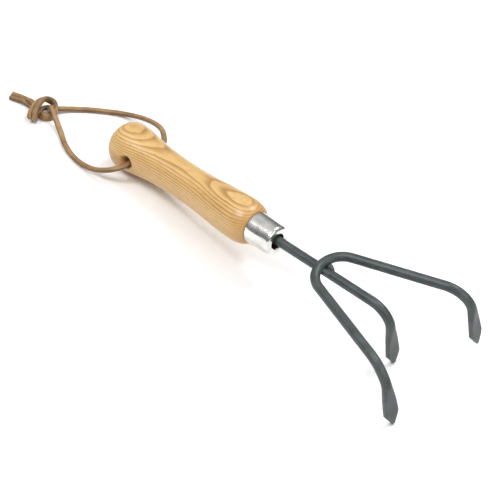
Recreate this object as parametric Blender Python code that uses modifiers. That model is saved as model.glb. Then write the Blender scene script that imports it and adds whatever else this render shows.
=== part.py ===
"""Three-pronged hand rake: ash handle, steel ferrule, two forged round bars and a leather thong.

Built along its own axis (handle at -X, tines at +X, all in millimetres), then turned as one
into the pose it takes when it is put down: on the handle, the middle point and the near point.
"""
import math

import bmesh
import bpy
from mathutils import Matrix, Vector

MM = 0.001
GAP = 0.3  # clearance between neighbouring solids

# Steel bars, forged flat at their ends
BAR_RADIUS = 3.25
BAR_SIDES = 20
SECTION_SPACING = 3.0  # between the sections of a bar where it bends or changes shape
TANG_LENGTH = 64.0  # part of the middle bar that is driven into the handle
TANG_POINT_LENGTH = 14.0
TANG_POINT_RADIUS = 1.5
TANG_END_ROOM = 2.0  # the bore in the handle runs on this far behind the tang
BLADE_WIDTH = 10.4
BLADE_THICKNESS = 3.5
BLADE_SQUARENESS = 7.0  # superellipse exponent of the flat section; 2 is round
FORGED_LENGTH = 30.0  # length over which a round bar turns into a blade
FLAT_LENGTH = 8.0  # the blade keeps one thickness this far above its shoulders
POINT_LENGTH = 9.5
POINT_WIDTH = 1.6
POINT_THICKNESS = 2.4
POINT_FULL_AT = 0.625  # share of the point's length where it is as thick as the blade
SHOULDER_SOFTENING = 0.7
POINT_BLUNTING = 0.5

# Middle bar: straight shank, then one bend down
MIDDLE_CORNER_X = 96.4
MIDDLE_BEND_RADIUS = 14.0
MIDDLE_BEND = math.radians(90.8)
MIDDLE_DROP = 50.8

# Fork: one bar bent round over the shank, both ends bent down
FORK_BACK_X = 39.8
FORK_RADIUS = 16.3
FORK_SPREAD = math.radians(17.3)
FORK_LEG = 80.4
FORK_BEND_RADIUS = 17.5
FORK_BEND = math.radians(85.8)
FORK_DROP = 47.7
FORK_BLADE_TURN = math.radians(13)  # the outer blades are turned back towards straight ahead
FORK_HEIGHT = 5.5  # its centreline above the shank's; the underside is notched to sit down
NOTCH_LENGTH = 40.0

# Weld beads in the two corners between fork and shank
WELD_X = 43.8
WELD_OFFSET = 2.6
WELD_HEIGHT = 3.0
WELD_SIZE = (5.6, 4.6, 5.0)
WELD_TURN = math.radians(32)

# Ferrule: (x, radius) of its outside, and its wall
FERRULE_REAR_X = -20.7
FERRULE_REAR_RADIUS = 11.5
FERRULE_SHOULDER_RADIUS = 10.7
SHOULDER_ROUNDING = 2.5
FERRULE_WALL = 1.2
FERRULE_HOLE_RADIUS = 5.6
FERRULE_INNER_CHAMFER = 1.6
LIP_ROUNDING = 0.9
TENON_FRONT_X = -8.0
TENON_CHAMFER = 1.0

# Handle outline behind the ferrule, (x, radius)
HANDLE_OUTLINE = (
    (-21.0, 12.2),
    (-22.6, 13.5),
    (-25.5, 14.8),
    (-30.0, 15.8),
    (-36.0, 16.0),
    (-45.0, 15.5),
    (-57.0, 14.7),
    (-71.0, 13.6),
    (-85.0, 13.1),
    (-99.0, 13.25),
    (-112.0, 13.8),
    (-124.0, 14.9),
    (-134.0, 16.5),
    (-142.0, 17.4),
    (-149.0, 17.2),
    (-154.0, 15.0),
    (-157.0, 11.5),
    (-159.0, 7.0),
    (-159.5, 0.0),
)
OUTLINE_STEPS = 2
LATHE_STEPS = 48

# The handle and ferrule lean a little off the shank's line, about the middle of the butt
LEAN = math.radians(0.29)
LEAN_PIVOT_X = -140.0
LEAN_TOWARDS = (0.0, -0.874, -0.485)

# Hole for the thong, across the handle
HOLE_X = -134.0
HOLE_TILT = math.radians(12)
HOLE_OUTLINE = ((24.0, 10.6), (18.4, 8.4), (16.4, 5.5), (13.2, 4.6))  # from mouth inwards, (reach, radius)

# Leather thong as it lies on the table, at rest: a loop through the hole, a knot and two tails
THONG_RADIUS = 1.8
LOOP_ROUTE = (
    (-204.0, -19.4, 4.6),
    (-200.4, -20.2, 3.0),
    (-195.2, -22.8, 1.9),
    (-186.4, -27.4, 1.9),
    (-175.7, -32.6, 1.9),
    (-163.6, -36.2, 1.9),
    (-152.6, -37.2, 2.4),
    (-140.4, -36.4, 4.8),
    (-132.3, -33.6, 8.0),
    (-126.4, -29.4, 11.2),
    (-122.9, -24.0, 13.9),
    (-122.4, -17.5, 15.4),
    (-122.7, -6.7, 16.7),
    (-122.9, 5.3, 18.0),
    (-123.4, 11.2, 18.5),
    (-126.2, 16.4, 18.3),
    (-130.9, 20.6, 17.6),
    (-136.1, 24.6, 16.6),
    (-141.7, 28.0, 15.2),
    (-148.0, 30.6, 13.2),
    (-155.3, 32.4, 10.8),
    (-164.3, 33.2, 7.8),
    (-172.0, 32.4, 5.4),
    (-178.5, 30.2, 3.6),
    (-184.8, 26.6, 2.3),
    (-189.9, 21.8, 1.9),
    (-194.9, 15.9, 1.9),
    (-200.9, 7.9, 1.9),
    (-207.0, -0.5, 1.9),
    (-210.8, -6.6, 3.2),
    (-212.6, -11.8, 4.8),
)
TAIL_ROUTES = (
    ((-225.6, -25.0, 4.4), (-231.4, -26.7, 2.2), (-236.6, -29.2, 1.9), (-241.6, -32.2, 1.9)),
    ((-225.6, -21.0, 4.4), (-232.4, -23.0, 2.2), (-238.0, -25.4, 1.9), (-243.4, -28.4, 1.9)),
)
ROUTE_STEPS = 2
KNOT_CENTRE = (-214.5, -22.5, 5.2)
KNOT_SIZE = (21.0, 19.0, 10.2)
BALL_SEGMENTS = 24
BALL_RINGS = 14


def clear_scene():
    for obj in list(bpy.data.objects):
        bpy.data.objects.remove(obj, do_unlink=True)


def new_collection(name):
    collection = bpy.data.collections.new(name)
    bpy.context.scene.collection.children.link(collection)
    return collection


def new_material(name, colour, metallic, roughness):
    material = bpy.data.materials.new(name)
    material.use_nodes = True
    shader = material.node_tree.nodes["Principled BSDF"]
    shader.inputs["Base Color"].default_value = (*colour, 1.0)
    shader.inputs["Metallic"].default_value = metallic
    shader.inputs["Roughness"].default_value = roughness
    return material


def add_object(name, data, collection, material=None, parent=None):
    obj = bpy.data.objects.new(name, data)
    collection.objects.link(obj)
    obj.parent = parent
    if material:
        data.materials.append(material)
    return obj


def hide_cutter(obj):
    obj.hide_render = True
    obj.display_type = "WIRE"


def shade_smooth(mesh):
    for polygon in mesh.polygons:
        polygon.use_smooth = True


def smooth_line(points, steps):
    """Catmull-Rom curve through the points, with this many steps to each stretch."""
    line = [Vector(p) for p in points]
    ends = [2 * line[0] - line[1], *line, 2 * line[-1] - line[-2]]
    result = []
    for i in range(1, len(ends) - 2):
        a, b, c, d = ends[i - 1 : i + 3]
        for step in range(steps):
            t = step / steps
            bend = (2 * a - 5 * b + 4 * c - d) * t * t + (3 * b - a - 3 * c + d) * t**3
            result.append(b + 0.5 * ((c - a) * t + bend))
    result.append(line[-1])
    return result


def lathe(name, outline, collection, material, parent, closed=False):
    """Turns an outline of (x, radius), from front to back along the outside, about the X axis."""
    mesh = bpy.data.meshes.new(name)
    corners = [(radius * MM, 0.0, x * MM) for x, radius in outline]
    edges = [(i, i + 1) for i in range(len(corners) - 1)]
    if closed:
        edges.append((len(corners) - 1, 0))
    mesh.from_pydata(corners, edges, [])
    obj = add_object(name, mesh, collection, material, parent)
    obj.matrix_basis = Matrix(((0, 0, 1, 0), (0, 1, 0, 0), (-1, 0, 0, 0), (0, 0, 0, 1)))
    screw = obj.modifiers.new("Turn", "SCREW")
    screw.steps = LATHE_STEPS
    screw.render_steps = LATHE_STEPS
    screw.use_merge_vertices = True
    screw.merge_threshold = 0.00001
    screw.use_smooth_shade = True
    return obj


def cut(obj, cutter, name):
    boolean = obj.modifiers.new(name, "BOOLEAN")
    boolean.operation = "DIFFERENCE"
    boolean.solver = "EXACT"
    boolean.object = cutter


def round_arc(centre, start, end, radius, steps):
    """Points of a quarter-like arc of (x, radius) from one angle to another, in degrees."""
    points = []
    for step in range(steps + 1):
        angle = math.radians(start + (end - start) * step / steps)
        points.append((centre[0] + radius * math.cos(angle), centre[1] + radius * math.sin(angle)))
    return points


def bent_line(start, corner, end, radius, steps):
    """Points from start to end, with the corner rounded to this radius."""
    back = (start - corner).normalized()
    ahead = (end - corner).normalized()
    angle = back.angle(ahead)
    reach = radius / math.tan(angle / 2)
    centre = corner + (back + ahead).normalized() * (radius / math.sin(angle / 2))
    first = (corner + back * reach - centre).normalized()
    last = (corner + ahead * reach - centre).normalized()
    points = [start]
    for step in range(steps + 1):
        points.append(centre + first.slerp(last, step / steps) * radius)
    points.append(end)
    return points


def blade_section(from_point):
    """(half width, half thickness, squareness) of a bar this far above its tip."""
    if from_point < POINT_LENGTH:
        share = from_point / POINT_LENGTH
        width = POINT_WIDTH + (BLADE_WIDTH - POINT_WIDTH) * share
        thickness = POINT_THICKNESS + (BLADE_THICKNESS - POINT_THICKNESS) * min(1.0, share / POINT_FULL_AT)
        return width / 2, thickness / 2, BLADE_SQUARENESS
    share = min(1.0, (from_point - POINT_LENGTH) / FORGED_LENGTH)
    swelling = max(0.0, (from_point - POINT_LENGTH - FLAT_LENGTH) / (FORGED_LENGTH - FLAT_LENGTH))
    swelling = min(1.0, swelling)
    share = share * share * (3 - 2 * share)
    swelling = swelling * swelling * (3 - 2 * swelling)
    width = BLADE_WIDTH + (2 * BAR_RADIUS - BLADE_WIDTH) * share
    thickness = BLADE_THICKNESS + (2 * BAR_RADIUS - BLADE_THICKNESS) * swelling
    squareness = 2 + (BLADE_SQUARENESS - 2) * (1 - swelling) ** 2
    return width / 2, thickness / 2, squareness


def section_ring(station, grow):
    """Corners of one superellipse section, as wide as the station says."""
    point, side, face, (width, thickness, squareness) = station
    ring = []
    for i in range(BAR_SIDES):
        angle = 2 * math.pi * i / BAR_SIDES
        c, s = math.cos(angle), math.sin(angle)
        across = (width + grow) * math.copysign(abs(c) ** (2 / squareness), c)
        through = (thickness + grow) * math.copysign(abs(s) ** (2 / squareness), s)
        ring.append((point + side * across + face * through) * MM)
    return ring


def loft(name, stations, collection, material, parent, grow=0.0):
    """Skins a bar whose section changes along its length: no modelling tool makes this shape."""
    corners = []
    faces = []
    for station in stations:
        corners += section_ring(station, grow)
    for row in range(len(stations) - 1):
        for i in range(BAR_SIDES):
            j = (i + 1) % BAR_SIDES
            a = row * BAR_SIDES
            b = a + BAR_SIDES
            faces.append((b + i, b + j, a + j, a + i))
    last = (len(stations) - 1) * BAR_SIDES
    faces.append(tuple(range(BAR_SIDES)))
    faces.append(tuple(reversed(range(last, last + BAR_SIDES))))
    mesh = bpy.data.meshes.new(name)
    mesh.from_pydata(corners, [], faces)
    shade_smooth(mesh)
    return add_object(name, mesh, collection, material, parent)


def resample(points, lengths):
    """Points at these distances along a polyline."""
    found = []
    walked = 0.0
    i = 0
    for length in lengths:
        step = (points[i + 1] - points[i]).length
        while length > walked + step and i < len(points) - 2:
            walked += step
            i += 1
            step = (points[i + 1] - points[i]).length
        found.append(points[i].lerp(points[i + 1], (length - walked) / step))
    return found


def tine_lengths(total, start):
    """Distances of the sections from the tip, close together where the section changes."""
    lengths = [0.0, POINT_BLUNTING, POINT_LENGTH * POINT_FULL_AT, POINT_LENGTH - SHOULDER_SOFTENING]
    lengths += [POINT_LENGTH, POINT_LENGTH + SHOULDER_SOFTENING]
    at = POINT_LENGTH + SECTION_SPACING
    while at < start:
        lengths.append(at)
        at += SECTION_SPACING
    lengths += [(start + total) / 2, total]
    return lengths


def bend_end(drop, radius, angle):
    """Distance from the tip to just past the bend, for a corner this far from the tip."""
    return drop + radius * (angle - math.tan(angle / 2)) + SECTION_SPACING


def tine_stations(line, bar_side, straight_from, turn=0.0):
    """Stations of a tine from its tip back along line, with its blade turned about its length."""
    total = sum((b - a).length for a, b in zip(line, line[1:]))
    lengths = tine_lengths(total, straight_from)
    points = resample(line, lengths)
    stations = []
    for i, (length, point) in enumerate(zip(lengths, points)):
        before = points[max(i - 1, 0)]
        after = points[min(i + 1, len(points) - 1)]
        along = (after - before).normalized()
        width, thickness, squareness = blade_section(length)
        forged = max(0.0, 1 - max(0.0, length - POINT_LENGTH) / FORGED_LENGTH)
        side = Matrix.Rotation(turn * forged, 3, along) @ bar_side
        face = side.cross(along)
        if length == 0.0:
            width -= POINT_BLUNTING
            thickness -= POINT_BLUNTING
        stations.append((point, side, face, (width, thickness, squareness)))
    return stations


def middle_stations():
    """Stations of the middle bar, from its tip to the end of the tang."""
    corner = Vector((MIDDLE_CORNER_X, 0, 0))
    down = Vector((math.cos(MIDDLE_BEND), 0, -math.sin(MIDDLE_BEND)))
    line = bent_line(corner + down * MIDDLE_DROP, corner, Vector((0, 0, 0)), MIDDLE_BEND_RADIUS, 16)
    side = Vector((0, 1, 0))
    bent_to = bend_end(MIDDLE_DROP, MIDDLE_BEND_RADIUS, MIDDLE_BEND)
    stations = tine_stations(line, side, bent_to)
    face = stations[-1][2]
    tang = ((-TANG_LENGTH + TANG_POINT_LENGTH, BAR_RADIUS), (-TANG_LENGTH, TANG_POINT_RADIUS))
    for x, radius in tang:
        stations.append((Vector((x, 0, 0)), side, face, (radius, radius, 2.0)))
    return stations


def fork_half(sign):
    """Stations of one half of the fork, from its tip to the start of the bend over the shank."""
    ahead = Vector((math.cos(FORK_SPREAD), sign * math.sin(FORK_SPREAD), 0))
    out = Vector((-math.sin(FORK_SPREAD), sign * math.cos(FORK_SPREAD), 0))
    centre = Vector((FORK_BACK_X + FORK_RADIUS, 0, FORK_HEIGHT))
    start = centre + out * FORK_RADIUS
    corner = start + ahead * FORK_LEG
    down = ahead * math.cos(FORK_BEND) - Vector((0, 0, 1)) * math.sin(FORK_BEND)
    line = bent_line(corner + down * FORK_DROP, corner, start, FORK_BEND_RADIUS, 18)
    bent_to = bend_end(FORK_DROP, FORK_BEND_RADIUS, FORK_BEND)
    return tine_stations(line, out * sign, bent_to, -sign * FORK_BLADE_TURN)


def fork_stations():
    """Stations of the whole fork, from the near tip round over the shank to the far tip."""
    near = fork_half(-1)
    far = fork_half(1)
    centre = Vector((FORK_BACK_X + FORK_RADIUS, 0, FORK_HEIGHT))
    sweep = math.pi - 2 * FORK_SPREAD
    steps = round(FORK_RADIUS * sweep / SECTION_SPACING)
    stations = near
    for step in range(1, steps):
        angle = -math.pi / 2 - FORK_SPREAD - sweep * step / steps
        out = Vector((math.cos(angle), math.sin(angle), 0))
        station = (centre + out * FORK_RADIUS, -out, Vector((0, 0, 1)))
        stations.append((*station, (BAR_RADIUS, BAR_RADIUS, 2.0)))
    for point, side, face, size in reversed(far):
        stations.append((point, -side, face, size))
    return stations


def lean_off_shank(obj):
    pivot = Vector((LEAN_PIVOT_X * MM, 0, 0))
    turn = Matrix.Rotation(LEAN, 4, Vector((1, 0, 0)).cross(Vector(LEAN_TOWARDS)))
    obj.matrix_basis = Matrix.Translation(pivot) @ turn @ Matrix.Translation(-pivot) @ obj.matrix_basis


def build_handle(collection, cutters, material, rest):
    tenon = FERRULE_SHOULDER_RADIUS - FERRULE_WALL - GAP
    slope = (FERRULE_REAR_RADIUS - FERRULE_SHOULDER_RADIUS) / (-SHOULDER_ROUNDING - FERRULE_REAR_X)
    tenon_rear = tenon + slope * (-SHOULDER_ROUNDING - FERRULE_REAR_X - GAP)
    outline = [(TENON_FRONT_X, 0.0), (TENON_FRONT_X, tenon - TENON_CHAMFER)]
    outline.append((TENON_FRONT_X - TENON_CHAMFER, tenon))
    outline.append((FERRULE_REAR_X - GAP, tenon_rear))
    outside = smooth_line([(x, radius, 0) for x, radius in HANDLE_OUTLINE], OUTLINE_STEPS)
    outline += [(point.x, max(point.y, 0.0)) for point in outside]
    handle = lathe("handle", outline, collection, material, rest)
    lean_off_shank(handle)

    rear = -TANG_LENGTH - TANG_END_ROOM
    width = BAR_RADIUS + GAP
    bore = lathe("tang_bore", [(0.0, 0.0), (0.0, width), (rear, width), (rear, 0.0)], cutters, None, rest)
    hide_cutter(bore)
    cut(handle, bore, "Tang bore")

    outline = [(HOLE_OUTLINE[0][0], 0.0)]
    outline += [(p.x, p.y) for p in smooth_line([(*p, 0) for p in HOLE_OUTLINE], OUTLINE_STEPS)]
    outline += [(-x, radius) for x, radius in reversed(outline)]
    hole = lathe("thong_hole", outline, cutters, None, rest)
    turn = Matrix.Rotation(-math.pi / 2, 4, "Z")
    tilt = Matrix.Rotation(-HOLE_TILT, 4, "X")
    hole.matrix_basis = Matrix.Translation((HOLE_X * MM, 0, 0)) @ tilt @ turn @ hole.matrix_basis
    hide_cutter(hole)
    cut(handle, hole, "Thong hole")
    return handle


def build_ferrule(collection, material, rest):
    lip = LIP_ROUNDING
    outside = [(FERRULE_REAR_X, FERRULE_REAR_RADIUS)]
    shoulder = round_arc((-SHOULDER_ROUNDING, FERRULE_SHOULDER_RADIUS - SHOULDER_ROUNDING),
                         0, 90, SHOULDER_ROUNDING, 7)
    mouth = round_arc((-lip, FERRULE_HOLE_RADIUS + lip), 0, -90, lip, 5)
    inside = [(-FERRULE_WALL - lip, FERRULE_HOLE_RADIUS)]
    inner_shoulder = FERRULE_SHOULDER_RADIUS - FERRULE_WALL
    inside.append((-FERRULE_WALL - lip, inner_shoulder - FERRULE_INNER_CHAMFER))
    inside.append((-FERRULE_WALL - lip - FERRULE_INNER_CHAMFER, inner_shoulder))
    inside.append((FERRULE_REAR_X, FERRULE_REAR_RADIUS - FERRULE_WALL))
    outline = list(reversed(mouth)) + shoulder + outside + list(reversed(inside))
    ferrule = lathe("ferrule", outline, collection, material, rest, closed=True)
    lean_off_shank(ferrule)
    return ferrule


def build_bars(collection, cutters, materials, rest):
    middle = loft("middle_tine", middle_stations(), collection, materials[0], rest)
    fork = loft("fork_tines", fork_stations(), collection, materials[1], rest)
    notch_from = FORK_BACK_X - NOTCH_LENGTH / 2
    outline = [(notch_from + NOTCH_LENGTH, 0.0), (notch_from + NOTCH_LENGTH, BAR_RADIUS + GAP),
               (notch_from, BAR_RADIUS + GAP), (notch_from, 0.0)]
    notch = lathe("shank_clearance", outline, cutters, None, rest)
    hide_cutter(notch)
    cut(fork, notch, "Seat on the shank")
    fork_clearance = loft("fork_clearance", fork_stations(), cutters, None, rest, grow=GAP)
    hide_cutter(fork_clearance)
    return middle, fork, (notch, fork_clearance)


def build_welds(collection, materials, rest, clearances):
    for name, sign, material in zip(("weld_near", "weld_far"), (-1, 1), materials):
        bpy.ops.mesh.primitive_uv_sphere_add(segments=BALL_SEGMENTS, ring_count=BALL_RINGS, radius=0.5)
        bead = bpy.context.object
        bead.name = name
        bead.data.name = name
        size = Matrix.Diagonal((*(s * MM for s in WELD_SIZE), 1.0))
        turn = Matrix.Rotation(-sign * WELD_TURN, 4, "Z")
        bead.data.transform(turn @ size)
        bead.matrix_basis = Matrix.Translation(Vector((WELD_X, sign * WELD_OFFSET, WELD_HEIGHT)) * MM)
        bead.parent = rest
        bead.data.materials.append(material)
        shade_smooth(bead.data)
        for old in list(bead.users_collection):
            old.objects.unlink(bead)
        collection.objects.link(bead)
        for clearance in clearances:
            cut(bead, clearance, clearance.name)


def lace(name, route, collection, material, hinge):
    """A round tube along a route in the resting frame, with its origin on the hinge."""
    curve = bpy.data.curves.new(name, "CURVE")
    curve.dimensions = "3D"
    curve.bevel_depth = THONG_RADIUS * MM
    curve.bevel_resolution = 2
    curve.use_fill_caps = True
    points = smooth_line(route, ROUTE_STEPS)
    spline = curve.splines.new("POLY")
    spline.points.add(len(points) - 1)
    for i, point in enumerate(points):
        spline.points[i].co = (*(point * MM - hinge), 1.0)
    obj = add_object(name, curve, collection, material)
    obj.location = hinge
    return obj


def build_thong(collection, materials, rest):
    """The thong swings about the axis of its hole, so all of it has its origin there."""
    hinge = rest.matrix_basis @ (Vector((HOLE_X, 0, 0)) * MM)
    lace("thong_loop", LOOP_ROUTE, collection, materials[0], hinge)
    knot_mesh = bpy.data.meshes.new("thong_knot")
    shape = bmesh.new()
    bmesh.ops.create_uvsphere(shape, u_segments=BALL_SEGMENTS, v_segments=BALL_RINGS, radius=0.5 * MM)
    place = Matrix.Translation(Vector(KNOT_CENTRE) * MM - hinge)
    bmesh.ops.transform(shape, matrix=place @ Matrix.Diagonal((*KNOT_SIZE, 1.0)), verts=shape.verts)
    shape.to_mesh(knot_mesh)
    shape.free()
    shade_smooth(knot_mesh)
    knot = add_object("thong_knot", knot_mesh, collection, materials[1])
    knot.location = hinge
    for name, route, material in zip(("thong_tail_near", "thong_tail_far"), TAIL_ROUTES, materials[2:]):
        lace(name, route, collection, material, hinge)


def tool_points(obj):
    """Corners of the finished solid, in the tool's own axes."""
    graph = bpy.context.evaluated_depsgraph_get()
    mesh = bpy.data.meshes.new_from_object(obj.evaluated_get(graph))
    points = [obj.matrix_basis @ vertex.co for vertex in mesh.vertices]
    bpy.data.meshes.remove(mesh)
    return points


def resting_matrix(handle, middle, fork, everything):
    """The turn and shift that put the rake down on handle, middle point and near fork point."""
    bpy.context.view_layer.update()
    near = [p for p in tool_points(fork) if p.y < 0]
    groups = (tool_points(handle), tool_points(middle), near)
    up = Vector((0, 0, 1))
    for _ in range(40):  # the lowest points and the upright direction settle on each other
        a, b, c = (min(group, key=up.dot) for group in groups)
        up = (b - a).cross(c - a).normalized()
        if up.z < 0:
            up.negate()
    ahead = (Vector((1, 0, 0)) - up * up.x).normalized()
    turn = Matrix((ahead, up.cross(ahead), up)).to_4x4()
    points = [turn @ p for obj in everything for p in tool_points(obj)]
    low = [min(p[i] for p in points) for i in range(3)]
    high = [max(p[i] for p in points) for i in range(3)]
    shift = Vector((-(low[0] + high[0]) / 2, -(low[1] + high[1]) / 2, -low[2]))
    return Matrix.Translation(shift) @ turn


def main():
    clear_scene()
    collection = new_collection("hand_rake")
    cutters = new_collection("hand_rake_cutters")
    rest = bpy.data.objects.new("resting_pose", None)
    collection.objects.link(rest)
    ash = new_material("ash_wood", (0.62, 0.40, 0.17), 0.0, 0.45)
    plated = new_material("plated_steel", (0.78, 0.78, 0.76), 1.0, 0.25)
    bar_steel = new_material("painted_middle_bar", (0.05, 0.055, 0.055), 0.3, 0.5)
    fork_steel = new_material("painted_fork_bar", (0.05, 0.055, 0.055), 0.3, 0.5)
    names = ("painted_near_weld", "painted_far_weld")
    weld_steels = [new_material(name, (0.06, 0.06, 0.06), 0.3, 0.55) for name in names]

    handle = build_handle(collection, cutters, ash, rest)
    ferrule = build_ferrule(collection, plated, rest)
    middle, fork, clearances = build_bars(collection, cutters, (bar_steel, fork_steel), rest)
    build_welds(collection, weld_steels, rest, clearances)
    rest.matrix_basis = resting_matrix(handle, middle, fork, (handle, ferrule, middle, fork))
    names = ("loop", "knot", "near_tail", "far_tail")
    leathers = [new_material("leather_" + name, (0.28, 0.16, 0.07), 0.0, 0.6) for name in names]
    build_thong(collection, leathers, rest)


main()
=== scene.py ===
import math

import bmesh
import bpy
from mathutils import Matrix, Vector, noise


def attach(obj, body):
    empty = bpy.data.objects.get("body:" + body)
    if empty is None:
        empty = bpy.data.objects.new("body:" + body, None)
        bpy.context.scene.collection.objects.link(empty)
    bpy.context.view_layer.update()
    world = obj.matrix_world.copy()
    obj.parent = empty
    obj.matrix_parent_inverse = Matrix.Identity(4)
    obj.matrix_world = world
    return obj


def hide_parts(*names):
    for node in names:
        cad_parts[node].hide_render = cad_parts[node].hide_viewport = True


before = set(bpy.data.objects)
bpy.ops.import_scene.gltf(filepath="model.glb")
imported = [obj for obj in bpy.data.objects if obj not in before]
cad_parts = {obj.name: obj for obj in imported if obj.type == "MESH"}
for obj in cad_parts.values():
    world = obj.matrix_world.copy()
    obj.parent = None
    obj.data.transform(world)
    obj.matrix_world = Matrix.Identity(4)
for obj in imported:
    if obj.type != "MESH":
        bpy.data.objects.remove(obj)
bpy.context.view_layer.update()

MM = 0.001

# Camera, with its place in metres
CAMERA_AT = (0.45407, -0.62228, 0.64161)
CAMERA_AZIMUTH = math.radians(37.061)
CAMERA_ELEVATION = math.radians(39.213)
CAMERA_ROLL = math.radians(13.927)
CAMERA_LENS = 106.82  # mm on a 36 mm sensor

# Studio, in metres
FLOOR_HALF_SIZE = 4.0
FLOOR_DROP = 0.0002
LIGHT_TARGET = (0, 0, 0.03)
LIGHTS = (  # name, place, size, power in watts
    ("key", (-0.45, -0.95, 1.45), 0.8, 17),
    ("fill", (1.4, -0.2, 1.0), 1.2, 9),
    ("top", (0.0, 0.75, 1.6), 0.6, 15),
)

# Lace
LACE_WIDTH = 4.0
LACE_THICKNESS = 3.0
LACE_SQUARENESS = 3.2
LACE_SIDES = 16
LACE_SIDE_STEP = 2.0  # from the middle of the doubled lace to each strand
LACE_CLEARANCE = 0.12  # from the table to the lace's underside
LACE_SWELL = 0.06
SIDE_SHADE_FROM = 0.62  # cosine round the section where the painted shade on the lace's sides starts
HOLE_MIDDLE = (-122.7, -6.7, 16.7)
NEAR_STRAND = (
    (-122.4, -17.5, 15.4), (-122.9, -24.0, 13.9), (-126.4, -29.4, 11.2), (-132.3, -33.6, 8.0),
    (-140.4, -36.4, 4.8), (-152.6, -37.2, 2.4), (-163.6, -36.2, 1.9), (-175.7, -32.6, 1.9),
    (-186.4, -27.4, 2.2), (-194.5, -24.2, 3.6), (-200.6, -22.4, 6.3), (-206.0, -21.0, 8.3),
)
FAR_STRAND = (
    (-122.9, 5.3, 18.0), (-123.4, 11.2, 18.5), (-126.2, 16.4, 18.3), (-130.9, 20.6, 17.6),
    (-136.1, 24.6, 16.6), (-141.7, 28.0, 15.2), (-148.0, 30.6, 13.2), (-155.3, 32.4, 10.8),
    (-164.3, 33.2, 7.8), (-172.0, 32.4, 5.4), (-178.5, 30.2, 3.6), (-184.8, 26.6, 2.3),
    (-189.9, 21.8, 1.9), (-194.9, 15.9, 1.9), (-200.9, 7.9, 1.9), (-205.8, -0.5, 2.2),
    (-208.6, -6.6, 2.8), (-210.6, -12.2, 3.6),
)
# Middle of the doubled lace through the overhand knot, from where it dives in to the tails
KNOT_ROUTE = (
    (-212.6, -19.0, 6.0), (-215.6, -21.6, 3.9), (-214.2, -27.0, 2.6), (-210.8, -32.6, 3.0),
    (-209.2, -36.2, 5.2), (-212.3, -33.4, 8.0), (-216.9, -25.9, 9.2), (-220.4, -18.0, 8.3),
    (-218.6, -13.2, 6.8), (-213.9, -11.4, 5.2), (-209.2, -14.3, 3.4), (-206.2, -19.8, 2.2),
    (-207.3, -25.4, 1.9), (-212.9, -26.6, 1.9), (-219.6, -25.2, 2.6), (-225.6, -25.0, 3.1),
)
TAIL_NEAR = ((-231.6, -27.2, 2.4), (-236.4, -29.3, 1.8), (-241.2, -31.8, 1.8))
TAIL_FAR = ((-232.2, -23.4, 2.4), (-238.0, -25.2, 1.8), (-243.6, -28.0, 1.8))
KNOT_MIDDLE = (-213.6, -22.6, 1.5)
ROUTE_STEPS = 6
TABLE_GAP = 0.05

# Bars: the same driving sizes as the CAD model, with finer sections
BAR_RADIUS = 3.25
BAR_SIDES = 40
SECTION_SPACING = 1.2
BLADE_WIDTH = 10.4
BLADE_THICKNESS = 3.5
BLADE_SQUARENESS = 8.0
FORGED_LENGTH = 30.0
FLAT_LENGTH = 8.0
POINT_LENGTH = 9.5
POINT_WIDTH = 1.6
POINT_THICKNESS = 2.4
POINT_BLUNTING = 0.5
MIDDLE_CORNER_X = 96.4
MIDDLE_BEND_RADIUS = 14.0
MIDDLE_BEND = math.radians(90.8)
MIDDLE_DROP = 50.8
TANG_LENGTH = 50.0
FORK_BACK_X = 39.8
FORK_RADIUS = 16.3
FORK_SPREAD = math.radians(17.3)
FORK_LEG = 80.4
FORK_BEND_RADIUS = 17.5
FORK_BEND = math.radians(85.8)
FORK_DROP = 47.7
FORK_BLADE_TURN = math.radians(13)
FORK_HEIGHT = 5.5

# Ferrule
FERRULE_LIP = 0.9
FERRULE_SHOULDER = 10.7
FERRULE_ROUNDING = 2.5
FERRULE_HOLE = 5.6
FERRULE_REAR_X = -20.7
FERRULE_REAR = 11.5
FERRULE_SIDES = 96
FERRULE_DENT = 0.12
FERRULE_WALL_FROM = 9.9  # only radii beyond this take dents

# Handle and welds
HANDLE_VOXEL = 0.6
WELD_VOXEL = 0.25
WELD_DROPS = ((42.4, 3.2, 3.0, 2.1), (43.8, 2.8, 2.9, 2.2), (45.2, 2.5, 2.6, 1.9), (46.2, 2.3, 2.2, 1.6))
WELD_RIPPLE = 0.16

# Wood: the growth rings' common axis and spacing in metres
RING_AXIS_Y = -0.020
RING_AXIS_Z = -0.062
RING_SPACING = 0.0015

# Resting pose: where the tool's own axes point, its origin, and the handle's lean, as in the CAD model
REST_AHEAD = (0.991963, 0.0, 0.126527)
REST_UP = (-0.120054, -0.315745, 0.941218)
REST_ORIGIN = (10.244, -6.863, 35.858)
LEAN = math.radians(0.29)
LEAN_PIVOT_X = -140.0
LEAN_TOWARDS = (0.0, -0.874, -0.485)


def axes_matrix(ahead, up, origin):
    ahead = Vector(ahead).normalized()
    across = Vector(up).cross(ahead).normalized()
    turn = Matrix((ahead, across, ahead.cross(across))).transposed().to_4x4()
    return Matrix.Translation(Vector(origin) * MM) @ turn


def lean_matrix():
    """The handle and ferrule lean a little off the shank's line, about the middle of the butt."""
    pivot = Vector((LEAN_PIVOT_X * MM, 0, 0))
    turn = Matrix.Rotation(LEAN, 4, Vector((1, 0, 0)).cross(Vector(LEAN_TOWARDS)))
    return Matrix.Translation(pivot) @ turn @ Matrix.Translation(-pivot)


TOOL = axes_matrix(REST_AHEAD, REST_UP, REST_ORIGIN)
HANDLE = TOOL @ lean_matrix()


# ---------------------------------------------------------------- camera, light and floor

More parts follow.
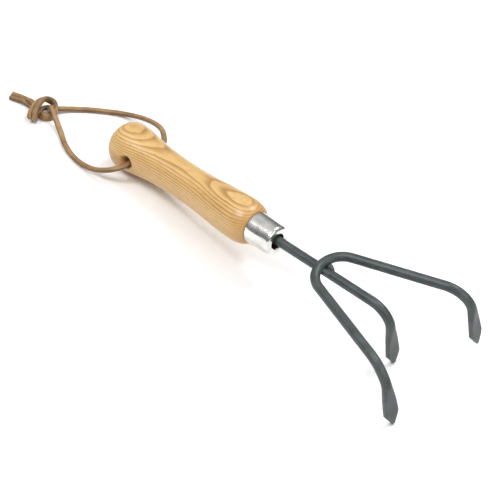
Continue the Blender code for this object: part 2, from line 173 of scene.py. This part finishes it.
def add_camera():
    a, e, roll = CAMERA_AZIMUTH, CAMERA_ELEVATION, CAMERA_ROLL
    back = Vector((math.sin(a) * math.cos(e), -math.cos(a) * math.cos(e), math.sin(e)))
    level = Vector((math.cos(a), math.sin(a), 0))
    above = back.cross(level)
    right = level * math.cos(roll) + above * math.sin(roll)
    camera = bpy.data.objects.new("camera", bpy.data.cameras.new("camera"))
    turn = Matrix((right, back.cross(right), back)).transposed().to_4x4()
    camera.matrix_world = Matrix.Translation(CAMERA_AT) @ turn
    camera.data.lens = CAMERA_LENS
    camera.data.sensor_width = 36
    bpy.context.scene.collection.objects.link(camera)
    bpy.context.scene.camera = camera


def add_light(name, at, target, size, power):
    light = bpy.data.lights.new(name, "AREA")
    light.shape = "DISK"
    light.size = size
    light.energy = power
    obj = bpy.data.objects.new(name, light)
    obj.location = at
    obj.rotation_euler = (Vector(target) - Vector(at)).to_track_quat("-Z", "Y").to_euler()
    bpy.context.scene.collection.objects.link(obj)


def add_studio():
    mesh = bpy.data.meshes.new("floor")
    size = FLOOR_HALF_SIZE
    corners = [(-size, -size, 0), (size, -size, 0), (size, size, 0), (-size, size, 0)]
    mesh.from_pydata(corners, [], [(0, 1, 2, 3)])
    floor = bpy.data.objects.new("floor", mesh)
    floor.location.z = -FLOOR_DROP
    bpy.context.scene.collection.objects.link(floor)
    paper = bpy.data.materials.new("pale_floor")
    paper.use_nodes = True
    shader = paper.node_tree.nodes["Principled BSDF"]
    shader.inputs["Base Color"].default_value = (0.93, 0.93, 0.93, 1)
    shader.inputs["Roughness"].default_value = 0.9
    mesh.materials.append(paper)
    world = bpy.data.worlds.new("studio")
    world.use_nodes = True
    tree = world.node_tree
    way = node(tree, "ShaderNodeTexCoord").outputs["Generated"]
    height = node(tree, "ShaderNodeSeparateXYZ", {"Vector": way}).outputs["Z"]
    sky = ramp(tree, height, ((0.0, (0.16, 0.16, 0.17)), (0.30, (0.22, 0.22, 0.23)),
                              (0.75, (0.78, 0.78, 0.78))))
    background = tree.nodes["Background"]
    tree.links.new(sky, background.inputs["Color"])
    background.inputs["Strength"].default_value = 0.9
    bpy.context.scene.world = world
    bpy.context.scene.view_settings.view_transform = "Standard"
    for name, at, size, power in LIGHTS:
        add_light(name, at, LIGHT_TARGET, size, power)


# ---------------------------------------------------------------- node materials

def new_material(name, metallic=0.0, roughness=0.5):
    material = bpy.data.materials.new(name)
    material.use_nodes = True
    shader = material.node_tree.nodes["Principled BSDF"]
    shader.inputs["Metallic"].default_value = metallic
    shader.inputs["Roughness"].default_value = roughness
    return material, material.node_tree, shader


def node(tree, kind, inputs=None, **settings):
    made = tree.nodes.new(kind)
    for key, value in settings.items():
        setattr(made, key, value)
    for key, value in (inputs or {}).items():
        if isinstance(value, bpy.types.NodeSocket):
            tree.links.new(value, made.inputs[key])
        else:
            made.inputs[key].default_value = value
    return made


def maths(tree, operation, first, second=0.0):
    return node(tree, "ShaderNodeMath", {0: first, 1: second}, operation=operation).outputs[0]


def ramp(tree, factor, stops):
    """Colour ramp whose stops are (position, (red, green, blue))."""
    made = node(tree, "ShaderNodeValToRGB", {"Fac": factor})
    elements = made.color_ramp.elements
    first, *between, last = stops
    for element, (position, colour) in zip((elements[1], elements[0]), (last, first)):
        element.position = position
        element.color = (*colour, 1)
    for position, colour in between:
        elements.new(position).color = (*colour, 1)
    return made.outputs["Color"]


def mix(tree, factor, first, second, blend="MIX"):
    made = node(tree, "ShaderNodeMix", data_type="RGBA", blend_type=blend)
    for socket, value in ((made.inputs[0], factor), (made.inputs[6], first), (made.inputs[7], second)):
        if isinstance(value, bpy.types.NodeSocket):
            tree.links.new(value, socket)
        else:
            socket.default_value = value
    return made.outputs[2]


def noise_at(tree, where, scale, detail=3.0, roughness=0.5):
    made = node(tree, "ShaderNodeTexNoise", {"Vector": where, "Scale": scale})
    made.inputs["Detail"].default_value = detail
    made.inputs["Roughness"].default_value = roughness
    return made.outputs["Fac"]


def along_tool(tree):
    """Coordinates along the tool's own axes, in metres."""
    where = node(tree, "ShaderNodeTexCoord").outputs["Object"]
    back = TOOL.inverted()
    place = {"Vector": where, "Location": back.translation, "Rotation": back.to_euler()}
    return node(tree, "ShaderNodeMapping", place).outputs["Vector"]


def stretched(tree, scale):
    """Coordinates along the tool's own axes, scaled along each of them."""
    return node(tree, "ShaderNodeMapping", {"Vector": along_tool(tree), "Scale": scale}).outputs["Vector"]


def shifted(tree, seed):
    """Scene coordinates moved aside by the seed, so that no two pieces show the same pattern."""
    where = node(tree, "ShaderNodeTexCoord").outputs["Object"]
    return node(tree, "ShaderNodeMapping", {"Vector": where, "Location": (seed, 0, 0)}).outputs["Vector"]


def add_bump(tree, shader, height, strength, distance):
    bump = node(tree, "ShaderNodeBump", {"Height": height, "Strength": strength, "Distance": distance})
    tree.links.new(bump.outputs["Normal"], shader.inputs["Normal"])


def ash_material():
    """Growth rings are wide cylinders that lie along the handle, so the swells cut them to ovals."""
    material, tree, shader = new_material("lacquered_ash")
    axes = node(tree, "ShaderNodeSeparateXYZ", {"Vector": along_tool(tree)}).outputs
    sway = noise_at(tree, stretched(tree, (9, 40, 40)), 1.0, 2.0)
    fine_sway = noise_at(tree, stretched(tree, (28, 150, 150)), 1.0, 2.0)
    across = maths(tree, "SUBTRACT", axes["Y"], RING_AXIS_Y)
    height = maths(tree, "SUBTRACT", axes["Z"], RING_AXIS_Z)
    across_squared = maths(tree, "MULTIPLY", across, across)
    height_squared = maths(tree, "MULTIPLY", height, height)
    radius = maths(tree, "SQRT", maths(tree, "ADD", across_squared, height_squared))
    radius = maths(tree, "ADD", radius, maths(tree, "MULTIPLY", sway, 0.0050))
    radius = maths(tree, "ADD", radius, maths(tree, "MULTIPLY", fine_sway, 0.0006))
    ring = maths(tree, "FRACT", maths(tree, "MULTIPLY", radius, 1 / RING_SPACING))
    rings = ramp(tree, ring, ((0.0, (0.05, 0.05, 0.05)), (0.14, (0.95, 0.95, 0.95)),
                              (0.50, (0.90, 0.90, 0.90)), (0.84, (0.30, 0.30, 0.30)),
                              (1.0, (0.02, 0.02, 0.02))))
    wide = noise_at(tree, stretched(tree, (10, 60, 60)), 1.0, 3.0)
    wood = ramp(tree, wide, ((0.3, (0.60, 0.375, 0.135)), (0.7, (0.72, 0.495, 0.215))))
    dark = (0.30, 0.135, 0.030, 1)
    strength = noise_at(tree, stretched(tree, (16, 120, 120)), 1.0, 2.0)
    strength = maths(tree, "ADD", strength, 0.30)
    share = maths(tree, "MULTIPLY", maths(tree, "SUBTRACT", 1.0, rings), strength)
    colour = mix(tree, share, wood, dark)
    pores = noise_at(tree, stretched(tree, (110, 2600, 2600)), 1.0, 3.0, 0.6)
    pore_share = ramp(tree, pores, ((0.30, (1, 1, 1)), (0.50, (0, 0, 0))))
    colour = mix(tree, maths(tree, "MULTIPLY", pore_share, 0.7), colour, (0.33, 0.155, 0.040, 1))
    front = node(tree, "ShaderNodeMapRange", {"Value": axes["X"], "From Min": -0.034, "From Max": -0.021})
    colour = mix(tree, maths(tree, "MULTIPLY", front.outputs[0], 0.55), colour, (0.42, 0.20, 0.055, 1))
    tree.links.new(colour, shader.inputs["Base Color"])
    rough = node(tree, "ShaderNodeMapRange", {"Value": pores, "To Min": 0.42, "To Max": 0.34})
    tree.links.new(rough.outputs[0], shader.inputs["Roughness"])
    shader.inputs["Coat Weight"].default_value = 0.25
    shader.inputs["Coat Roughness"].default_value = 0.22
    add_bump(tree, shader, maths(tree, "ADD", pores, maths(tree, "MULTIPLY", rings, 0.5)), 0.35, 0.0002)
    return material


def plated_material():
    """Bright plating over pressed steel: soft waves, faint drawing lines and small marks."""
    material, tree, shader = new_material("bright_plating", 1.0, 0.17)
    waves = noise_at(tree, stretched(tree, (90, 170, 170)), 1.0, 2.0)
    lines = noise_at(tree, stretched(tree, (500, 60, 60)), 1.0, 2.0)
    tint = ramp(tree, waves, ((0.35, (0.62, 0.62, 0.60)), (0.65, (0.84, 0.83, 0.78))))
    tree.links.new(tint, shader.inputs["Base Color"])
    marks = noise_at(tree, stretched(tree, (700, 700, 700)), 1.0, 4.0)
    rough = node(tree, "ShaderNodeMapRange", {"Value": marks, "To Min": 0.12, "To Max": 0.30})
    tree.links.new(rough.outputs[0], shader.inputs["Roughness"])
    add_bump(tree, shader, maths(tree, "ADD", waves, maths(tree, "MULTIPLY", lines, 0.12)), 0.35, 0.0006)
    return material


def paint_material(name, seed):
    """Dark grey powder coat: orange-peel texture, cloudy tone and paler rubbed patches."""
    material, tree, shader = new_material(name, 0.0, 0.42)
    where = shifted(tree, seed)
    clouds = noise_at(tree, where, 110.0, 4.0, 0.6)
    colour = ramp(tree, clouds, ((0.30, (0.026, 0.034, 0.034)), (0.52, (0.040, 0.051, 0.050)),
                                 (0.75, (0.066, 0.080, 0.077))))
    specks = noise_at(tree, where, 1500.0, 2.0, 0.6)
    speck_share = ramp(tree, specks, ((0.60, (0, 0, 0)), (0.72, (0.5, 0.5, 0.5))))
    colour = mix(tree, speck_share, colour, (0.12, 0.135, 0.13, 1))
    tree.links.new(colour, shader.inputs["Base Color"])
    rough = node(tree, "ShaderNodeMapRange", {"Value": clouds, "To Min": 0.34, "To Max": 0.55})
    tree.links.new(rough.outputs[0], shader.inputs["Roughness"])
    peel = noise_at(tree, where, 900.0, 2.0)
    add_bump(tree, shader, maths(tree, "ADD", peel, clouds), 0.30, 0.0003)
    return material


def leather_material(name, seed):
    """Waxed brown leather: pebbled grain, painted shade that darkens the lace's sides, and paler rubbed
    stretches.
    """
    material, tree, shader = new_material(name, 0.0, 0.52)
    where = shifted(tree, seed)
    tone = noise_at(tree, where, 95.0, 4.0, 0.6)
    colour = ramp(tree, tone, ((0.30, (0.165, 0.085, 0.028)), (0.50, (0.265, 0.148, 0.052)),
                               (0.72, (0.370, 0.225, 0.092))))
    # painted shade: the lace's sides get a darker brown, standing in for the shade on faces turned away
    # from the light
    painted_side_shade = node(tree, "ShaderNodeAttribute", attribute_name="painted_side_shade").outputs["Fac"]
    colour = mix(tree, maths(tree, "MULTIPLY", painted_side_shade, 0.72), colour, (0.085, 0.040, 0.013, 1))
    grain = node(tree, "ShaderNodeTexVoronoi", {"Vector": where, "Scale": 1700.0}).outputs["Distance"]
    tree.links.new(colour, shader.inputs["Base Color"])
    rough = node(tree, "ShaderNodeMapRange", {"Value": tone, "To Min": 0.62, "To Max": 0.44})
    tree.links.new(rough.outputs[0], shader.inputs["Roughness"])
    shader.inputs["Sheen Weight"].default_value = 0.12
    add_bump(tree, shader, maths(tree, "ADD", grain, maths(tree, "MULTIPLY", tone, 1.5)), 0.45, 0.0002)
    return material


# ---------------------------------------------------------------- shapes

def smooth_line(points, steps):
    """Catmull-Rom curve through the points, with this many steps to each stretch."""
    line = [Vector(p) for p in points]
    ends = [2 * line[0] - line[1], *line, 2 * line[-1] - line[-2]]
    result = []
    for i in range(1, len(ends) - 2):
        a, b, c, d = ends[i - 1 : i + 3]
        for step in range(steps):
            t = step / steps
            bend = (2 * a - 5 * b + 4 * c - d) * t * t + (3 * b - a - 3 * c + d) * t**3
            result.append(b + 0.5 * ((c - a) * t + bend))
    result.append(line[-1])
    return result


def add_piece(name, mesh, material, body, slot, *nodes):
    mesh.materials.append(material)
    obj = bpy.data.objects.new(name, mesh)
    bpy.context.scene.collection.objects.link(obj)
    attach(obj, body)
    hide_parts(*nodes)
    return obj


def outward_mesh(name, corners, faces):
    mesh = bpy.data.meshes.new(name)
    mesh.from_pydata(corners, [], faces)
    shape = bmesh.new()
    shape.from_mesh(mesh)
    bmesh.ops.recalc_face_normals(shape, faces=shape.faces)
    shape.to_mesh(mesh)
    shape.free()
    return mesh


def remeshed(name, mesh, voxel):
    """A smooth, evenly fine surface in place of mesh, with its edges softened; mesh is deleted."""
    obj = bpy.data.objects.new(name, mesh)
    bpy.context.scene.collection.objects.link(obj)
    remesh = obj.modifiers.new("Fine surface", "REMESH")
    remesh.mode = "VOXEL"
    remesh.voxel_size = voxel * MM
    soften = obj.modifiers.new("Soft edges", "SMOOTH")
    soften.factor = 0.5
    soften.iterations = 5
    bpy.context.view_layer.update()
    fine = bpy.data.meshes.new_from_object(obj.evaluated_get(bpy.context.evaluated_depsgraph_get()))
    bpy.data.objects.remove(obj)
    bpy.data.meshes.remove(mesh)
    for polygon in fine.polygons:
        polygon.use_smooth = True
    fine.name = name
    fine.materials.clear()
    return fine


def skin(name, rings):
    """Closed mesh through rings of equal count, with flat ends."""
    sides = len(rings[0])
    corners = [corner for ring in rings for corner in ring]
    faces = []
    for row in range(len(rings) - 1):
        for i in range(sides):
            j = (i + 1) % sides
            a = row * sides
            b = a + sides
            faces.append((a + i, a + j, b + j, b + i))
    faces.append(tuple(reversed(range(sides))))
    faces.append(tuple(range((len(rings) - 1) * sides, len(rings) * sides)))
    mesh = outward_mesh(name, corners, faces)
    for polygon in mesh.polygons:
        polygon.use_smooth = len(polygon.vertices) == 4
    return mesh


def superellipse(width, thickness, squareness, sides):
    ring = []
    for i in range(sides):
        angle = 2 * math.pi * i / sides
        c, s = math.cos(angle), math.sin(angle)
        across = width * math.copysign(abs(c) ** (2 / squareness), c)
        ring.append((across, thickness * math.copysign(abs(s) ** (2 / squareness), s)))
    return ring


# ---------------------------------------------------------------- lace

def doubled(route, sign):
    """One strand of the doubled lace: beside the route's middle, lying flat on the knot."""
    middle = Vector(KNOT_MIDDLE)
    strand = []
    last = None
    for i, point in enumerate(route):
        point = Vector(point)
        along = Vector(route[min(i + 1, len(route) - 1)]) - Vector(route[max(i - 1, 0)])
        out = point - middle
        side = along.cross(out).normalized()
        if last is not None and side.dot(last) < 0:
            side.negate()
        last = side
        grown = min(1.0, (i + 0.4) / 2)
        strand.append(tuple(point + side * sign * grown * LACE_SIDE_STEP))
    return strand


def lace_line(strand, sign, tail):
    """One strand's middle line in metres, from inside the hole to its tail's end."""
    points = [HOLE_MIDDLE, *strand, *doubled(KNOT_ROUTE, sign), *tail]
    lowest = LACE_THICKNESS / 2 + LACE_CLEARANCE
    line = smooth_line(points, ROUTE_STEPS)
    return [Vector((p.x, p.y, max(p.z, lowest))) * MM for p in line]


def lace_mesh(name, line, knot_from, knot_to, seed):
    """Lace with rounded edges; through the knot its flat side faces away from the knot's middle."""
    middle = Vector(KNOT_MIDDLE) * MM
    rings = []
    flat_up = Vector((0, 0, 1))
    for i, point in enumerate(line):
        along = (line[min(i + 1, len(line) - 1)] - line[max(i - 1, 0)]).normalized()
        out = (point - middle).normalized()
        inside = min(1.0, max(0.0, (i - knot_from) / 8)) * min(1.0, max(0.0, (knot_to - i) / 10))
        wanted = (Vector((0, 0, 1)) * (1 - inside) + out * inside * 1.4 + flat_up * 0.8)
        flat_up = (wanted - along * wanted.dot(along)).normalized()
        side = along.cross(flat_up)
        swell = 1 + LACE_SWELL * noise.noise(Vector((i * 0.21, seed, 0)))
        ring = []
        half_width = LACE_WIDTH * MM / 2 * swell
        half_thickness = LACE_THICKNESS * MM / 2 / swell
        for across, through in superellipse(half_width, half_thickness, LACE_SQUARENESS, LACE_SIDES):
            corner = point + side * across + flat_up * through
            corner.z = max(corner.z, TABLE_GAP * MM)
            ring.append(corner)
        rings.append(ring)
    mesh = skin(name, rings)
    # painted shade mask: 0 on the lace's flat faces, rising to 1 on its sides
    painted_side_shade = mesh.attributes.new("painted_side_shade", "FLOAT", "POINT")
    for i in range(len(mesh.vertices)):
        c = abs(math.cos(2 * math.pi * (i % LACE_SIDES) / LACE_SIDES))
        painted_side_shade.data[i].value = max(0.0, (c - SIDE_SHADE_FROM) / (1 - SIDE_SHADE_FROM))
    return mesh


def add_lace():
    plans = (
        ("lace_near_strand", NEAR_STRAND, -1, TAIL_NEAR, "leather_loop", ("thong_loop", "thong_tail_near")),
        ("lace_far_strand", FAR_STRAND, 1, TAIL_FAR, "leather_knot", ("thong_knot", "thong_tail_far")),
    )
    for i, (name, strand, sign, tail, slot, nodes) in enumerate(plans):
        line = lace_line(strand, sign, tail)
        knot_from = (len(strand) - 1) * ROUTE_STEPS
        knot_to = (len(strand) + len(KNOT_ROUTE)) * ROUTE_STEPS
        mesh = lace_mesh(name, line, knot_from, knot_to, 7.0 * i)
        material = leather_material("waxed_leather_" + "ab"[i], i * 0.3)
        obj = add_piece(name, mesh, material, "thong", slot, *nodes)


# ---------------------------------------------------------------- handle and ferrule

def add_handle():
    """The turned and drilled handle, remeshed finely so that the mouths of its hole are softly worn."""
    fine = remeshed("turned_handle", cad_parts["handle"].data.copy(), HANDLE_VOXEL)
    add_piece("turned_handle", fine, ash_material(), "rake", "ash_wood", "handle")


def ferrule_outline():
    """(x, radius) in mm, closed, from the front ring's inner lip round the shoulder and back inside."""
    lip, shoulder, rounding = FERRULE_LIP, FERRULE_SHOULDER, FERRULE_ROUNDING
    rear_x, rear = FERRULE_REAR_X, FERRULE_REAR
    outline = []
    for step in range(9):
        angle = math.radians(-90 + 90 * step / 8)
        outline.append((-lip + lip * math.cos(angle), FERRULE_HOLE + lip + lip * math.sin(angle)))
    outline += [(0.0, 7.2), (0.0, 7.8)]
    for step in range(13):
        angle = math.radians(90 * step / 12)
        x = -rounding + rounding * math.cos(angle)
        outline.append((x, shoulder - rounding + rounding * math.sin(angle)))
    rows = 16
    for step in range(1, rows):
        share = step / rows
        x = -rounding + (rear_x + rounding + 0.5) * share
        outline.append((x, shoulder + (rear - shoulder) * share))
    outline += [(rear_x + 0.5, rear + 0.02), (rear_x + 0.15, rear - 0.05)]
    outline += [(rear_x, rear - 0.35), (rear_x, rear - 1.1)]
    outline += [(-4.0, shoulder - 1.2), (-2.1, shoulder - 2.8), (-2.1, FERRULE_HOLE)]
    return outline


def add_ferrule():
    """Pressed ferrule: faintly out of round, with shallow dents where the press gripped it."""
    outline = ferrule_outline()
    rings = []
    for k in range(FERRULE_SIDES):
        angle = 2 * math.pi * k / FERRULE_SIDES
        direction = Vector((0, math.cos(angle), math.sin(angle)))
        ring = []
        for x, radius in outline:
            dent = noise.noise(Vector((x * 0.10, direction.y * 1.6, direction.z * 1.6)))
            bent = radius + FERRULE_DENT * dent if radius > FERRULE_WALL_FROM else radius
            ring.append((Vector((x, 0, 0)) + direction * bent) * MM)
        rings.append(ring)
    count = len(outline)
    corners = [corner for ring in rings for corner in ring]
    faces = []
    for k in range(FERRULE_SIDES):
        a = k * count
        b = (k + 1) % FERRULE_SIDES * count
        for i in range(count):
            j = (i + 1) % count
            faces.append((a + i, a + j, b + j, b + i))
    mesh = outward_mesh("pressed_ferrule", corners, faces)
    mesh.shade_smooth()
    mesh.set_sharp_from_angle(angle=math.radians(40))
    mesh.transform(HANDLE)
    add_piece("pressed_ferrule", mesh, plated_material(), "rake", "plated_steel", "ferrule")


# ---------------------------------------------------------------- bars and welds

def bent_line(start, corner, end, radius, steps):
    """Points from start to end, with the corner rounded to this radius."""
    back = (start - corner).normalized()
    ahead = (end - corner).normalized()
    angle = back.angle(ahead)
    reach = radius / math.tan(angle / 2)
    centre = corner + (back + ahead).normalized() * (radius / math.sin(angle / 2))
    first = (corner + back * reach - centre).normalized()
    last = (corner + ahead * reach - centre).normalized()
    points = [start]
    for step in range(steps + 1):
        points.append(centre + first.slerp(last, step / steps) * radius)
    points.append(end)
    return points


def blade_section(from_point):
    """(half width, half thickness, squareness) of a bar this far above its tip."""
    if from_point < POINT_LENGTH:
        share = from_point / POINT_LENGTH
        width = POINT_WIDTH + (BLADE_WIDTH - POINT_WIDTH) * share
        thickness = POINT_THICKNESS + (BLADE_THICKNESS - POINT_THICKNESS) * min(1.0, share / 0.625)
        return width / 2, thickness / 2, BLADE_SQUARENESS
    share = min(1.0, (from_point - POINT_LENGTH) / FORGED_LENGTH)
    swelling = max(0.0, (from_point - POINT_LENGTH - FLAT_LENGTH) / (FORGED_LENGTH - FLAT_LENGTH))
    swelling = min(1.0, swelling)
    share = share * share * (3 - 2 * share)
    swelling = swelling * swelling * (3 - 2 * swelling)
    width = BLADE_WIDTH + (2 * BAR_RADIUS - BLADE_WIDTH) * share
    thickness = BLADE_THICKNESS + (2 * BAR_RADIUS - BLADE_THICKNESS) * swelling
    squareness = 2 + (BLADE_SQUARENESS - 2) * (1 - swelling) ** 2
    return width / 2, thickness / 2, squareness


def resample(points, lengths):
    """Points at these distances along a polyline."""
    found = []
    walked = 0.0
    i = 0
    for length in lengths:
        step = (points[i + 1] - points[i]).length
        while length > walked + step and i < len(points) - 2:
            walked += step
            i += 1
            step = (points[i + 1] - points[i]).length
        found.append(points[i].lerp(points[i + 1], (length - walked) / step))
    return found


def tine_stations(line, bar_side, turn=0.0):
    """Stations (point, side, face, section) of a tine from its tip back along line."""
    total = sum((b - a).length for a, b in zip(line, line[1:]))
    lengths = [0.0, POINT_BLUNTING, POINT_LENGTH * 0.3, POINT_LENGTH * 0.625, POINT_LENGTH - 0.5]
    lengths += [POINT_LENGTH, POINT_LENGTH + 0.6]
    at = POINT_LENGTH + 1.6
    while at < total - SECTION_SPACING:
        lengths.append(at)
        at += SECTION_SPACING
    lengths.append(total)
    points = resample(line, lengths)
    stations = []
    for i, (length, point) in enumerate(zip(lengths, points)):
        before = points[max(i - 1, 0)]
        after = points[min(i + 1, len(points) - 1)]
        along = (after - before).normalized()
        width, thickness, squareness = blade_section(length)
        forged = max(0.0, 1 - max(0.0, length - POINT_LENGTH) / FORGED_LENGTH)
        side = Matrix.Rotation(turn * forged, 3, along) @ bar_side
        if length == 0.0:
            width -= POINT_BLUNTING
            thickness -= POINT_BLUNTING
        stations.append((point, side, side.cross(along), (width, thickness, squareness)))
    return stations


def middle_stations():
    corner = Vector((MIDDLE_CORNER_X, 0, 0))
    down = Vector((math.cos(MIDDLE_BEND), 0, -math.sin(MIDDLE_BEND)))
    end = Vector((-TANG_LENGTH, 0, 0))
    line = bent_line(corner + down * MIDDLE_DROP, corner, end, MIDDLE_BEND_RADIUS, 40)
    return tine_stations(line, Vector((0, 1, 0)))


def fork_half(sign):
    ahead = Vector((math.cos(FORK_SPREAD), sign * math.sin(FORK_SPREAD), 0))
    out = Vector((-math.sin(FORK_SPREAD), sign * math.cos(FORK_SPREAD), 0))
    centre = Vector((FORK_BACK_X + FORK_RADIUS, 0, FORK_HEIGHT))
    start = centre + out * FORK_RADIUS
    corner = start + ahead * FORK_LEG
    down = ahead * math.cos(FORK_BEND) - Vector((0, 0, 1)) * math.sin(FORK_BEND)
    line = bent_line(corner + down * FORK_DROP, corner, start, FORK_BEND_RADIUS, 44)
    return tine_stations(line, out * sign, -sign * FORK_BLADE_TURN)


def fork_stations():
    """Stations of the whole fork, from the near tip round over the shank to the far tip."""
    stations = fork_half(-1)
    centre = Vector((FORK_BACK_X + FORK_RADIUS, 0, FORK_HEIGHT))
    sweep = math.pi - 2 * FORK_SPREAD
    steps = 48
    for step in range(1, steps):
        angle = -math.pi / 2 - FORK_SPREAD - sweep * step / steps
        out = Vector((math.cos(angle), math.sin(angle), 0))
        section = (BAR_RADIUS, BAR_RADIUS, 2.0)
        stations.append((centre + out * FORK_RADIUS, -out, Vector((0, 0, 1)), section))
    for point, side, face, size in reversed(fork_half(1)):
        stations.append((point, -side, face, size))
    return stations


def bar_mesh(name, stations):
    """Forged surface: each section carries faint hammer marks."""
    rings = []
    for point, side, face, (width, thickness, squareness) in stations:
        ring = []
        for across, through in superellipse(width, thickness, squareness, BAR_SIDES):
            corner = point + side * across + face * through
            mark = 0.05 * noise.noise(corner * 0.16) + 0.02 * noise.noise(corner * 0.6)
            out = side * across + face * through
            ring.append((corner + out.normalized() * mark) * MM)
        rings.append(ring)
    mesh = skin(name, rings)
    mesh.set_sharp_from_angle(angle=math.radians(38))
    return mesh


def add_bars():
    plans = (
        ("forged_middle_bar", middle_stations(), "painted_middle_bar", "middle_tine", 0.0),
        ("forged_fork_bar", fork_stations(), "painted_fork_bar", "fork_tines", 0.4),
    )
    for name, stations, slot, node_name, seed in plans:
        material = paint_material("powder_coat_" + node_name, seed)
        mesh = bar_mesh(name, stations)
        mesh.transform(TOOL)
        add_piece(name, mesh, material, "rake", slot, node_name)


def add_weld(name, sign, slot, node_name):
    """A run of weld metal in the corner between fork and shank: overlapping drops melted together."""
    shape = bmesh.new()
    for x, y, z, radius in WELD_DROPS:
        place = Matrix.Translation(Vector((x, sign * y, z)) * MM)
        bmesh.ops.create_icosphere(shape, subdivisions=3, radius=radius * MM, matrix=place)
    mesh = bpy.data.meshes.new(name)
    shape.to_mesh(mesh)
    shape.free()
    melted = remeshed(name, mesh, WELD_VOXEL)
    for vertex in melted.vertices:
        ripple = noise.noise(vertex.co * 900.0) * WELD_RIPPLE * MM
        vertex.co += vertex.normal * ripple
    melted.transform(TOOL)
    material = paint_material("powder_coat_" + node_name, sign * 0.7)
    add_piece(name, melted, material, "rake", slot, node_name)


def main():
    add_camera()
    add_lace()
    add_studio()
    add_handle()
    add_ferrule()
    add_bars()
    add_weld("near_weld_run", -1, "painted_near_weld", "weld_near")
    add_weld("far_weld_run", 1, "painted_far_weld", "weld_far")


main()
